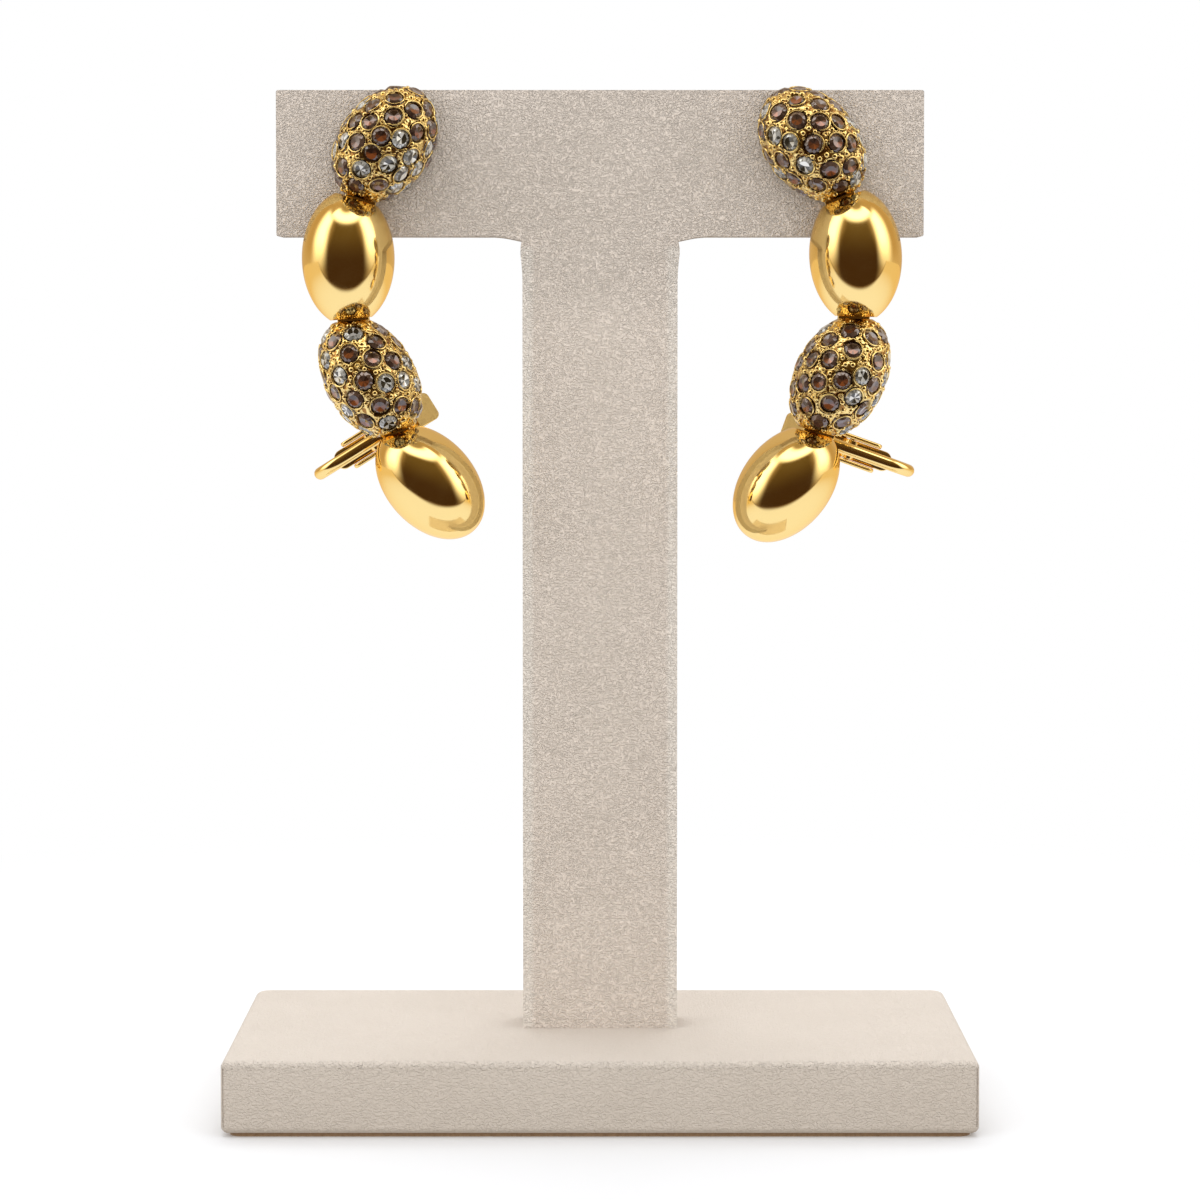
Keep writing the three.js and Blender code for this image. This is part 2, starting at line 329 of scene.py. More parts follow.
gold = {
    "colour": (1.0, 0.74, 0.29), "edge": (1.0, 0.87, 0.64), "roughness": 0.07, "haze": 0.06,
    "hazeScale": 300, "hazeEdge": (0.35, 0.7), "swellScale": 160, "swell": 0.0002, "swellStrength": 0.5,
}


def makeGold():
    material, bench = newMaterial("polished_gold", {
        "Metallic": 1.0, "Base Color": gold["colour"], "Specular Tint": gold["edge"],
    })
    place = bench.place()
    haze = bench.ramp(bench.noise(place, gold["hazeScale"], 4.0), *gold["hazeEdge"],
                      gold["roughness"], gold["roughness"] + gold["haze"])
    swell = bench.noise(place, gold["swellScale"], 1.0)
    normal = bench.bump(swell, gold["swell"], Strength=gold["swellStrength"])
    bench.finish({"Roughness": haze, "Normal": normal})
    return material


# The paved metal: its darkest colour is the painted shade of the seats and seams, and the pits of its bump
# get an amber painted shade.
pave = {
    "colour": (1.0, 0.755, 0.3), "pitShade": (0.29, 0.1, 0.012), "shade": (0.05, 0.014, 0.003),
    "roughness": 0.07, "pits": 1150, "pitEdge": (0.38, 0.48), "pitDepth": 0.0004, "pitted": 0.85,
    "wirePitted": 0.1,
}


def makePave(name, pitted):
    material, bench = newMaterial(name, {"Metallic": 1.0, "Roughness": pave["roughness"]})
    cast = bench.noise(bench.place(), pave["pits"], 2.0)
    # Painted shade: the pits of the bump are painted amber.
    colour = bench.mix(bench.ramp(cast, *pave["pitEdge"], pitted, 0.0), pave["colour"], pave["pitShade"])
    # The depth attribute paints shade into the seats and along the seams.
    paintedShade = bench.add("Attribute", attribute_name="depth").outputs["Fac"]
    bench.finish({"Base Color": bench.mix(paintedShade, colour, pave["shade"]),
                  "Normal": bench.bump(cast, pave["pitDepth"] * pitted)})
    return material


# The facets of a stone are painted from dark to light over its brown or clear colour, painted reflections
# that stand in for the light the cut throws back, and the lower table of some brown ones has a painted red
# glow where light comes through.
crystal = {
    "brown": {"dark": (0.022, 0.007, 0.004), "light": (0.2, 0.12, 0.085), "glow": (0.32, 0.088, 0.022)},
    "clear": {"dark": (0.03, 0.026, 0.016), "light": (0.95, 0.93, 0.86), "glow": (0.3, 0.25, 0.16)},
    "surface": {
        "Metallic": 0.35, "Roughness": 0.05, "IOR": 1.9,
        "Coat Weight": 1.0, "Coat Roughness": 0.02, "Coat IOR": 1.5,
    },
}


def makeCrystal(kind):
    material, bench = newMaterial(f"{kind}_crystal", crystal["surface"])
    paint = bench.add("Attribute", attribute_name="facet").outputs["Color"]
    light, glow = bench.add("SeparateColor", {0: paint}).outputs[:2]
    colour = bench.mix(light, crystal[kind]["dark"], crystal[kind]["light"])
    bench.finish({"Base Color": bench.mix(glow, colour, crystal[kind]["glow"])})
    return material


felt = {
    "dark": (0.20, 0.12, 0.06), "light": (0.42, 0.27, 0.155), "fuzz": 2200, "depth": 0.0002,
    "roughness": 0.95, "sheen": 0.3,
}


def makeLining():
    material, bench = newMaterial("brown_lining", {"Roughness": felt["roughness"],
                                                   "Sheen Weight": felt["sheen"]})
    fuzz = bench.noise(bench.place(), felt["fuzz"], 4.0)
    bench.finish({"Base Color": bench.mix(fuzz, felt["dark"], felt["light"]),
                  "Normal": bench.bump(fuzz, felt["depth"])})
    return material


polishedGold = makeGold()
pavedGold = makePave("paved_gold", pave["pitted"])
wireGold = makePave("wire_gold", pave["wirePitted"])
brownCrystal = makeCrystal("brown")
clearCrystal = makeCrystal("clear")
brownLining = makeLining()
print("materials made")


# Shared ways of shaping and finishing a piece

# The angles in degrees past which an edge counts as sharp.
creases = {"leather": 50, "corner": 80, "metal": 60, "shading": 35, "smoothWall": 50, "pavedWall": 75}


# Edges past the angle sharp stay crisp under the smooth shading.
def finishPiece(bm, name, material, place, body="stand", replaces=None, smooth=True, sharp=None):
    bmesh.ops.recalc_face_normals(bm, faces=bm.faces)
    bm.transform(place)
    if place.determinant() < 0:
        bmesh.ops.reverse_faces(bm, faces=bm.faces)
    for face in bm.faces:
        face.smooth = smooth
    obj = addObject(name, meshFrom(bm, name))
    obj.data.materials.append(material)
    if sharp:
        obj.data.set_sharp_from_angle(angle=math.radians(sharp))
    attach(obj, body)
    if replaces:
        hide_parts(replaces)
    return obj


def only(geom, kind):
    return [part for part in geom if isinstance(part, kind)]


# A flat face that looks to the front through (x, z, radius) corners, its corners rounded.
def outlineFace(bm, corners, rounding=8):
    spots = [bm.verts.new((x, 0, z)) for x, z, radius in corners]
    bm.faces.new(spots)
    for spot, (x, z, radius) in zip(spots, corners):
        if radius:
            bmesh.ops.bevel(bm, geom=[spot], offset=radius, offset_type="OFFSET", affect="VERTICES",
                            segments=rounding, profile=0.5, material=-1)


# Draws faces out and gives back the ones at the far end.
def drawOut(bm, faces, along):
    made = bmesh.ops.extrude_face_region(bm, geom=faces)["geom"]
    bmesh.ops.translate(bm, vec=along, verts=only(made, bmesh.types.BMVert))
    return only(made, bmesh.types.BMFace)


def sharpEdges(bm, degrees):
    return [edge for edge in bm.edges
            if len(edge.link_faces) == 2 and edge.calc_face_angle(0) > math.radians(degrees)]


def roundEdges(bm, edges, offset, segments, clamp=True):
    bmesh.ops.bevel(bm, geom=edges, offset=offset, offset_type="OFFSET", affect="EDGES",
                    segments=segments, profile=0.5, material=-1, clamp_overlap=clamp)


# The edges that lie in planes across an axis, such as the rims of a slab.
def edgesAcross(edges, axis):
    return [edge for edge in edges if abs(edge.verts[0].co[axis] - edge.verts[1].co[axis]) < 0.001]


# One bmesh joined with, cut by or kept inside another; both are used up.
def boolean(first, second, operation):
    objects = []
    for bm in (first, second):
        bmesh.ops.recalc_face_normals(bm, faces=bm.faces)
        objects.append(addObject("part", meshFrom(bm, "part")))
    modifier = objects[0].modifiers.new("cut", "BOOLEAN")
    modifier.operation = operation
    modifier.object = objects[1]
    modifier.solver = "EXACT"
    seen = objects[0].evaluated_get(bpy.context.evaluated_depsgraph_get())
    result = bmesh.new()
    result.from_mesh(seen.to_mesh())
    seen.to_mesh_clear()
    for obj in objects:
        mesh = obj.data
        bpy.data.objects.remove(obj)
        bpy.data.meshes.remove(mesh)
    return result


def block(left, right, front, back, low, high):
    bm = bmesh.new()
    bmesh.ops.create_cube(bm, size=1)
    bm.transform(shifted((left + right) / 2, (front + back) / 2, (low + high) / 2)
                 @ Matrix.Diagonal((right - left, back - front, high - low, 1)))
    return bm


# Stand. Its pieces meet without the small gaps that the plain solids keep.

board = {
    "barSide": 44.6, "stemSide": 10.7, "height": 129.8, "barHeight": 20.1, "thickness": 8,
    "cornerEdge": 0.3, "edge": 0.7,
    "fold": {"reach": 3.1, "drop": 0.64, "bulge": 0.4, "length": 3.4, "curve": 1.2},
}
base = {
    "side": 50.5, "end": 25.7, "height": 9.4, "frontCorner": 1.0, "backCorner": 2.2, "edge": 0.9,
    "seam": {"inset": 0.35, "width": 0.14, "depth": 0.45},
}
joinGap = 0.28
# The hide's grain is a net of fine wavy lines, clear on the board, calmer below its bar and faint on the
# base, whose front edge is wrinkled. Painted shade darkens the creases of its grain.
leather = {
    # The board's copy is painted lighter than the base's: painted light that stands in for more light on the
    # board and makes up for its deeper grain.
    "board": {"colour": (0.965, 0.852, 0.75), "grain": 1.0, "calm": 0.72},
    "base": {"colour": (0.785, 0.7, 0.615), "grain": 0.32, "calm": 1.0},
    "surface": {"Roughness": 0.62, "Specular IOR Level": 0.35, "Sheen Weight": 0.15, "Sheen Roughness": 0.5},
    "grain": 2400, "stretch": 0.7, "line": 0.3, "warp": 0.0003, "warpScale": 1500,
    "fineGrain": 5000, "fineShare": 0.5, "grainDepth": 0.000265, "calmBelow": (0.106, 0.116),
    "shade": (0.60, 0.515, 0.43), "creaseShade": 0.26, "creaseEdge": (0.15, 0.9),
    "patch": 0.15, "patchScale": 60, "patchEdge": (0.3, 0.75),
    "pale": (1.0, 0.915, 0.82), "paleStrip": (0.0089, 0.0098), "paleBelow": (-0.002, -0.001),
    "wrinkles": 2300, "lipDepth": 0.00035, "lipWidth": (0.0006, 0.0018), "lipHeight": (-0.0016, -0.0008),
}


def leatherLines(bench, place):
    place = bench.add("Mapping", {"Vector": place, "Scale": (leather["stretch"], 1, 1)}).outputs[0]
    wobble = bench.noise(place, leather["warpScale"], 2.0, "Color")
    warped = bench.add("VectorMath", {0: wobble, 1: (leather["warp"],) * 3, 2: place},
                       operation="MULTIPLY_ADD").outputs[0]
    swell = bench.noise(warped, leather["grain"], 2.0)
    line = bench.maths("ABSOLUTE", bench.maths("MULTIPLY_ADD", swell, 2.0, -1.0))
    return bench.ramp(line, 0.0, leather["line"], 1.0, 0.0)


# Where the stem's leather is stretched smooth and pale along its sides.
def stemStrips(bench, place):
    across, along, up = bench.split(place)
    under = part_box("stand_board")[1].z - board["barHeight"] * millimetre
    start, end = leather["paleBelow"]
    return bench.times(bench.ramp(bench.maths("ABSOLUTE", across), *leather["paleStrip"]),
                       bench.ramp(up, under + start, under + end, 1.0, 0.0))


# Where the base's leather is wrinkled as it folds over the front edge.
def frontLip(bench, place):
    across, along, up = bench.split(place)
    low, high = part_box("stand_base")
    near, far = leather["lipWidth"]
    start, end = leather["lipHeight"]
    return bench.times(bench.ramp(along, low.y + near, low.y + far, 1.0, 0.0),
                       bench.ramp(up, high.z + start, high.z + end))


def makeLeather(part, paleWhere=None, wrinkledWhere=None):
    own, grain, shade = leather[part]["colour"], leather[part]["grain"], leather["shade"]
    material, bench = newMaterial(f"{part}_leather", leather["surface"])
    place = bench.place()
    fine = bench.noise(place, leather["fineGrain"], 3.0)
    height = bench.maths("MULTIPLY_ADD", fine, leather["fineShare"], leatherLines(bench, place))
    calm = bench.ramp(bench.split(place)[2], *leather["calmBelow"], leather[part]["calm"], 1.0)
    normal = bench.bump(bench.times(height, calm), leather["grainDepth"] * grain)
    patches = bench.noise(place, leather["patchScale"], 3.0)
    colour = bench.mix(bench.ramp(patches, *leather["patchEdge"], 0.0, leather["patch"]), own, shade)
    # Painted shade in the grain's creases.
    creaseShade = bench.ramp(height, *leather["creaseEdge"], leather["creaseShade"] * grain, 0.0)
    colour = bench.mix(creaseShade, colour, shade)
    if paleWhere:
        colour = bench.mix(paleWhere(bench, place), colour, leather["pale"])
    if wrinkledWhere:
        wrinkles = bench.maths("SUBTRACT", bench.noise(place, leather["wrinkles"], 2.0), 0.5)
        wrinkles = bench.times(wrinkles, wrinkledWhere(bench, place))
        normal = bench.bump(wrinkles, leather["lipDepth"], Normal=normal)
    bench.finish({"Base Color": colour, "Normal": normal})
    return material


# From the stand's millimetres, counted from where its plain solid starts, without the gap under it.
def standPlace(y, z):
    return shifted(0, y, z) @ Matrix.Scale(millimetre, 4) @ shifted(0, 0, -joinGap)


def makeBoard(material):
    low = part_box("stand_board")[0]
    bm = bmesh.new()
    side, stem, fold = board["barSide"], board["stemSide"], board["fold"]
    top = board["height"] + joinGap
    under = top - board["barHeight"]
    # The leather is folded into the inner corners: it hangs a little below the bar and swells beside
    # the stem.
    half = [
        (stem, 0, 0),
        (stem, under - fold["length"] - 1, 2),
        (stem + fold["bulge"], under - fold["length"] / 2, fold["curve"]),
        (stem + 0.1, under - fold["drop"], 0),
        (stem + fold["reach"], under, fold["curve"]),
        (side, under, 0),
        (side, top, 0),
    ]
    outlineFace(bm, half + [(-x, z, radius) for x, z, radius in reversed(half)])
    drawOut(bm, bm.faces[:], (0, board["thickness"], 0))
    corners = [edge for edge in sharpEdges(bm, creases["corner"]) if abs(edge.verts[0].co.x) > side - 1]
    roundEdges(bm, [edge for edge in corners if edge not in edgesAcross(corners, 1)], board["cornerEdge"], 3)
    roundEdges(bm, edgesAcross(sharpEdges(bm, creases["leather"]), 1), board["edge"], 5)
    place = standPlace(low.y, low.z)
    finishPiece(bm, "leather_board", material, place, replaces="stand_board")


def makeBase(material):
    bm = bmesh.new()
    side, end, front, back = base["side"], base["end"], base["frontCorner"], base["backCorner"]
    outlineFace(bm, [(-side, -end, front), (side, -end, front), (side, end, back), (-side, end, back)])
    bm.transform(turned(-90, "X"))
    height = base["height"] + joinGap
    drawOut(bm, bm.faces[:], (0, 0, height))
    roundEdges(bm, edgesAcross(sharpEdges(bm, creases["leather"]), 2), base["edge"], 5)
    seam = base["seam"]
    for direction in (-1, 1):
        middle = direction * (side - seam["inset"])
        cut = block(middle - seam["width"] / 2, middle + seam["width"] / 2, -end - 1, -end + seam["depth"],
                    base["edge"], height - base["edge"])
        bm = boolean(bm, cut, "DIFFERENCE")
    place = standPlace(0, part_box("stand_base")[0].z)
    finishPiece(bm, "leather_base", material, place, replaces="stand_base",
                sharp=creases["leather"])


makeBoard(makeLeather("board", paleWhere=stemStrips))
makeBase(makeLeather("base", wrinkledWhere=frontLip))
frame["nodes"]["base_pad"].data.materials.clear()
frame["nodes"]["base_pad"].data.materials.append(brownLining)
print("stand made")


# Cuffs. Their own frame has the flat backs of the domes at y = 0, the crowns towards -Y, and the middle
# of the top dome at the origin, in millimetres. A clip crosses the bar at a place, and rises to the
# right by turn degrees.

cuffs = {
    "left": {"swing": 0, "mirror": 1, "crossing": (2.11, -38.1), "turn": 32},
    "right": {"swing": -3.2, "mirror": -1, "crossing": (1.32, -40.3), "turn": 23},
}
clip = {"pin": -5.2, "pinDepth": 7.7}


# From the clip's frame, with X along it, into the cuff's.
def clipPlace(side):
    x, z = cuffs[side]["crossing"]
    return shifted(x, 0, z) @ turned(-cuffs[side]["turn"])


# From the cuff's frame into the model's, so that the clip's pin lies on its hinge.
def cuffPlace(side):
    cuff = cuffs[side]
    shape = turned(cuff["swing"]) @ Matrix.Diagonal((cuff["mirror"], 1, 1, 1))
    joint = next(joint for joint in frame["joints"] if joint["name"] == f"clip_hinge_{side}")
    pinSpot = clipPlace(side) @ Vector((clip["pin"], clip["pinDepth"], 0))
    hinge = Vector(joint["pos_m"]) / millimetre
    return Matrix.Scale(millimetre, 4) @ Matrix.Translation(hinge - shape @ pinSpot) @ shape


domes = [
    {"name": "pave_dome_top", "at": (0, 0), "tilt": 36.6, "size": (12.5, 8.3, 17.4)},
    {"name": "smooth_dome_upper", "at": (-5.15, -15.54), "tilt": -0.4, "size": (12.7, 8.7, 18.6)},
    {"name": "pave_dome_lower", "at": (-2.13, -31.98), "tilt": -30.5, "size": (12.2, 8.3, 18.1)},
    {"name": "smooth_dome_bottom", "at": (6.01, -46.3), "tilt": -41.4, "size": (12.3, 8.6, 18)},
]
seams = [
    {"at": (-3.54, -7.5), "tilt": 18.3},
    {"at": (-4.56, -23.97), "tilt": -5},
    {"at": (1.04, -39.56), "tilt": -18},
]
shell = {"gap": 0.3, "wall": 1, "skirt": 0.5, "tuck": 0.97, "fullness": 2.05, "softEdge": 0.15}
# Steps round and rings from the crown to the back, for each kind of dome and the guides to place stones.
domeSteps = {"smooth": (128, 40), "paved": (200, 70), "guide": (72, 30), "fineGuide": (144, 60)}
sortAlong = Vector((1, 31.7, 977.3))  # a slanting way, to put the parts of a dome in the same order each time

# A dome's cuts are the planes that cut it flat, each as a spot on it and the direction of what goes.
for dome in domes:
    dome["cuts"] = []
for seam, upper, lower in zip(seams, domes, domes[1:]):
    for dome, away in ((upper, -1), (lower, 1)):
        normal = turned(seam["tilt"]) @ Vector((0, 0, away))
        spot = Vector((seam["at"][0], 0, seam["at"][1])) - normal * shell["gap"] / 2
        dome["cuts"].append((spot, normal))


def seamDistance(spot, dome):
    return min((point - spot).dot(normal) for point, normal in dome["cuts"])


# Spins half an egg, leans it and cuts it flat at its seams.
def domeForm(dome, kind):
    steps, rings = domeSteps[kind]
    wide, high, long = dome["size"]
    skirt, power = shell["skirt"] / high, 2 / shell["fullness"]
    bm = bmesh.new()
    spots = []
    for ring in range(rings + 1):
        angle = ring / rings * math.pi / 2
        radius = math.sin(angle) ** power if ring else 0
        forward = math.cos(angle) ** power if ring < rings else 0
        spots.append(bm.verts.new((radius, -skirt - forward * (1 - skirt), 0)))
    spots.append(bm.verts.new((shell["tuck"], 0, 0)))
    edges = [bm.edges.new(pair) for pair in zip(spots, spots[1:])]
    bmesh.ops.spin(bm, geom=spots + edges, cent=(0, 0, 0), axis=(0, 1, 0), angle=2 * math.pi, steps=steps,
                   use_merge=True)
    bmesh.ops.remove_doubles(bm, verts=bm.verts, dist=1e-5)
    x, z = dome["at"]
    lean = shifted(x, 0, z) @ turned(dome["tilt"])
    bm.transform(lean @ Matrix.Diagonal((wide / 2, high, long / 2, 1)))
    for spot, normal in dome["cuts"]:
        cut = bmesh.ops.bisect_plane(bm, geom=bm.verts[:] + bm.edges[:] + bm.faces[:], dist=1e-4,
                                     plane_co=spot, plane_no=normal, clear_outer=True)
        rim = only(cut["geom_cut"], bmesh.types.BMEdge)
        # The rim is open at the dome's back, so its ends are joined before it is filled.
        ends = [vert for edge in rim for vert in edge.verts]
        ends = [vert for vert in ends if ends.count(vert) == 1]
        if len(ends) == 2:
            rim.append(bm.edges.new(ends))
        bmesh.ops.edgeloop_fill(bm, edges=rim)
    bmesh.ops.recalc_face_normals(bm, faces=bm.faces)
    bm.verts.sort(key=lambda vert: vert.co.dot(sortAlong))
    bm.faces.sort(key=lambda face: face.calc_center_median().dot(sortAlong))
    return bm


# Gives a dome its wall, inwards, and softens its edges.
def wallBehind(obj, edgeAngle, lining=None):
    solid = obj.modifiers.new("wall", "SOLIDIFY")
    solid.thickness = shell["wall"] * millimetre
    solid.offset = -1
    solid.use_even_offset = True
    if lining:
        obj.data.materials.append(lining)
        solid.material_offset = 1
    edge = obj.modifiers.new("edge", "BEVEL")
    edge.width = shell["softEdge"] * millimetre
    edge.segments = 2
    edge.limit_method = "ANGLE"
    edge.angle_limit = math.radians(edgeAngle)


def makeSmoothDome(side, dome):
    name = f"{dome['name']}_{side}"
    obj = finishPiece(domeForm(dome, "smooth"), f"polished_{name}", polishedGold,
                      cuffPlace(side), replaces=name)
    wallBehind(obj, creases["smoothWall"])


# Stones. Places are seen from the front, from the middle of the dome, x to the right and z up, on the
# cuff as it hangs: b brown, g greyer brown, c clear, e a dark one sunk deep in its seat.

stoneCharts = {
    ("left", "pave_dome_top"): [
        (1.5, 7.7, "g"), (-1.1, 6.9, "b"), (4.4, 7.1, "g"), (1.4, 6.2, "b"), (-1.6, 5.3, "g"),
        (4.0, 4.6, "b"), (6.0, 4.8, "g"), (1.3, 3.7, "b"), (-1.9, 2.9, "b"), (-4.1, 3.1, "g"),
        (4.5, 1.5, "b"), (6.5, 1.7, "b"), (-0.7, 0.7, "b"), (2.2, 0.7, "c"), (-3.7, 0.1, "g"),
        (-5.7, 0.3, "c"), (-1.8, -1.2, "e"), (3.7, -1.8, "c"), (6.1, -0.5, "c"), (0.4, -2.7, "c"),
        (-3.1, -3.3, "c"), (2.3, -4.3, "c"), (4.5, -3.5, "c"), (-5.8, -3.2, "b"), (-4.0, -5.8, "g"),
        (-0.8, -5.6, "g"), (3.0, -6.0, "c"), (0.5, -7.4, "g"),
    ],
    ("left", "pave_dome_lower"): [
        (-2.2, 6.2, "c"), (-4.9, 5.0, "b"), (-6.1, 5.9, "c"), (1.0, 5.0, "b"), (2.0, 6.5, "g"),
        (0.7, 7.7, "g"), (3.5, 5.1, "g"), (-2.8, 3.4, "b"), (0.4, 2.7, "b"), (3.3, 2.5, "b"),
        (5.2, 2.2, "c"), (-6.1, 2.5, "c"), (-4.2, 0.2, "c"), (-0.8, -0.4, "b"), (2.2, -0.6, "c"),
        (4.7, -0.3, "c"), (6.6, -0.9, "c"), (-4.7, -1.9, "b"), (-6.5, 0, "g"), (-2.1, -3.0, "b"),
        (1.4, -3.8, "b"), (4.3, -3.7, "b"), (6.2, -3.8, "g"), (-3.1, -4.5, "c"), (-0.6, -5.9, "b"),
        (2.6, -6.2, "c"), (-3.4, -5.7, "c"), (-0.7, -7.5, "c"), (1.4, -7.8, "b"),
    ],
    ("right", "pave_dome_top"): [
        (-1.8, 7.7, "g"), (-4.5, 7.2, "g"), (1.0, 7.2, "g"), (-2.3, 6.0, "e"), (-4.8, 4.3, "b"),
        (-6.6, 4.4, "c"), (1.0, 5.3, "g"), (-2.2, 3.2, "b"), (1.0, 3.0, "b"), (3.4, 3.0, "b"),
        (3.1, 5.3, "g"), (5.2, 2.9, "c"), (-5.4, 1.1, "c"), (-7.0, 1.8, "b"), (-3.1, 0.2, "c"),
        (0.1, 0, "b"), (3.3, 0.2, "b"), (5.3, 0.1, "b"), (6.9, 0.1, "c"), (-4.3, -2.2, "g"),
        (-6.1, -1.9, "g"), (-1.1, -3.0, "c"), (2.4, -3.6, "b"), (5.2, -3.1, "b"), (7.0, -2.1, "c"),
        (-2.6, -4.8, "b"), (0.6, -5.7, "g"), (3.8, -5.9, "g"), (-4.7, -3.9, "c"), (-1.5, -6.8, "g"),
        (5.9, -5.5, "c"),
    ],
    ("right", "pave_dome_lower"): [
        (1.2, 6.4, "b"), (4.2, 5.4, "g"), (6.1, 6.0, "g"), (-1.7, 5.1, "g"), (-2.3, 6.7, "c"),
        (-4.3, 4.2, "g"), (1.6, 3.7, "b"), (-1.6, 2.5, "b"), (-4.0, 2.5, "b"), (5.0, 2.1, "b"),
        (6.7, 2.6, "c"), (2.9, 0.1, "c"), (0.2, -0.5, "b"), (-3.0, -0.7, "b"), (-5.3, -0.9, "b"),
        (4.5, -1.2, "g"), (6.4, -0.2, "c"), (-7.0, -1.6, "b"), (1.8, -2.8, "c"), (-1.6, -3.6, "b"),
        (-4.7, -4.0, "b"), (3.0, -4.5, "g"), (5.2, -3.2, "c"), (-3.0, -6.2, "g"), (0.2, -6.2, "g"),
        (3.7, -5.5, "c"), (1.1, -7.6, "c"),
    ],
}
# clear is how far a stone's middle stays from the seams, where there are only grains of metal, and lowest
# how far it stays in front of the dome's back. A filled-in stone has room from its neighbours, and more
# from the seams.
stone = {
    "radius": 1.29, "smallest": 0.85, "pitch": 2.85, "crowding": 0.1, "gap": 0.07, "margin": 0.05,
    "clear": 1.0, "lowest": 0.9, "fillRoom": 2.6, "fillClear": 1.3, "fillLowest": 1.35, "fillKinds": "bbgc",
    "table": 0.6, "crown": 0.42, "pavilion": 0.5, "dish": 0.1, "bulge": 0.06, "sides": 12,
    "sink": 0.26, "lost": 0.25, "wobble": 7, "firstEasing": 14, "lastEasing": 6,
}
# A seat's shape, and the painted shade in it and along the seams: how far from a stone's edge it fades, how
# strong it is in an empty seat, and how far from a seam it reaches.
seat = {
    "slope": 0.35, "ease": 0.1, "depth": 0.42, "ridge": 0.04, "ripple": 0.1, "ripples": 2.6,
    "lowest": 0.3, "clear": 0.02, "paintedShade": 0.6, "paintedShadeEase": 0.05, "emptySeatShade": 0.6,
    "collar": 0.9, "seamShade": 0.6,
}
bead = {
    "largest": 0.42, "smallest": 0.2, "fill": 0.95, "spacing": 1.2, "clear": 0.2, "seamClear": 0.28,
    "lowest": 1.7, "sunk": 0.45, "missing": 0.15, "ring": 0.4, "ringWire": 0.32,
}
wire = {
    "radius": (0.1, 0.14), "outside": 0.06, "rise": 0.04, "sweep": (110, 270), "thinnest": 0.35,
    "mostOnStone": 2, "steps": 10, "lowest": 2, "clear": 0.4,
}
sight = {"depth": 3, "reach": 30}  # where in a dome a line of sight is aimed, and how far in front it starts


# Places the charted stones where they are seen on the dome.
def settleStones(tree, side, dome):
    turn = cuffPlace(side).to_3x3().inverted() * millimetre
    eye = cuffPlace(side).inverted() @ Vector(camera["place"])
    x, z = dome["at"]
    middle = Vector((x, -sight["depth"], z))
    ahead = (middle - eye).normalized()
    across, up = turn @ Vector((1, 0, 0)), turn @ Vector((0, 0, 1))
    stones = []
    for right, over, kind in stoneCharts[(side, dome["name"])]:
        start = middle + across * right + up * over
        hit = tree.ray_cast(start - ahead * sight["reach"], ahead)[0]
        spot = hit if hit else tree.find_nearest(start)[0]
        if seamDistance(spot, dome) > stone["clear"]:
            stones.append({"at": spot.copy(), "kind": kind})
    return stones


# Adds stones where the chart leaves room, nearest ones first so that the rows stay close.
def fillSides(stones, spots, dome):
    room = []
    for spot in spots:
        if -spot.y > stone["fillLowest"] and seamDistance(spot, dome) > stone["fillClear"]:
            room.append((min((spot - other["at"]).length for other in stones), spot))
    while True:
        room = [option for option in room if option[0] >= stone["fillRoom"]]
        if not room:
            return
        best = min(room, key=lambda option: option[0])[1]
        stones.append({"at": best.copy(), "kind": chance.choice(stone["fillKinds"])})
        room = [(min(nearest, (spot - best).length), spot) for nearest, spot in room]


def easeApart(stones, tree, dome, rounds):
    wanted = stone["pitch"] - stone["crowding"]
    for _ in range(rounds):
        for one in stones:
            push = Vector((0, 0, 0))
            for other in stones:
                apart = one["at"] - other["at"]
                if other is not one and 0 < apart.length < wanted:
                    push += apart.normalized() * (wanted - apart.length) / 4
            spot = tree.find_nearest(one["at"] + push)[0]
            if -spot.y > stone["lowest"] and seamDistance(spot, dome) > stone["clear"]:
                one["at"] = spot.copy()


def sizeStones(stones, tree, dome):
    margin = stone["margin"]
    for one in stones:
        nearest = min((one["at"] - other["at"]).length for other in stones if other is not one)
        room = min(nearest / 2 - stone["gap"], -one["at"].y - margin, seamDistance(one["at"], dome) - margin)
        one["radius"] = max(stone["smallest"], min(stone["radius"], room))
        one["normal"] = tree.find_nearest(one["at"])[1].copy()


# How light the painted reflections in the facets of a table, a crown and a back may be, how much lighter the
# painted highlight makes the crown's upper facets, and how strongly the painted glow lights the lower part of
# the table.
stoneShades = {
    "b": {"table": (0.0, 0.35), "crown": (0.15, 0.6), "upper": 0.4, "glow": 1.0},
    "g": {"table": (0.25, 0.6), "crown": (0.35, 0.8), "upper": 0.3, "glow": 0.35},
    "c": {"table": (0.0, 1.0), "crown": (0.0, 0.7), "upper": 0.3, "glow": 0.1},
    "e": {"table": (0.0, 0.1), "crown": (0.0, 0.2), "upper": 0, "glow": 4},
}
facets = {"back": (0, 0.1), "brightness": (0.7, 1.15), "glowBelow": 0.25, "glowSpread": (0.5, 2.2)}


# Paints the reflections, highlight and glow into each facet. A clear stone's table facets are either dark or
# light.
def paintStone(parts, one, paint):
    shades = stoneShades[one["kind"]]
    brightness = chance.uniform(*facets["brightness"])
    for face, kind in parts:
        value = chance.uniform(*(facets["back"] if kind == "back" else shades[kind]))
        if one["kind"] == "c" and kind == "table":
            value = round(value)
        height = (face.calc_center_median() - one["at"]).z / one["radius"]
        if kind == "crown":
            value += max(height, 0) * shades["upper"]
        lowness = max(0, facets["glowBelow"] - height) if kind == "table" else 0
        glow = min(1, lowness * shades["glow"] * chance.uniform(*facets["glowSpread"]))
        for loop in face.loops:
            loop[paint] = (min(value * brightness, 1), glow, 0, 1)


# From flat on the ground to a slope, by the shortest turn.
def facing(normal):
    return normal.to_track_quat("Z", "Y").to_matrix().to_4x4()


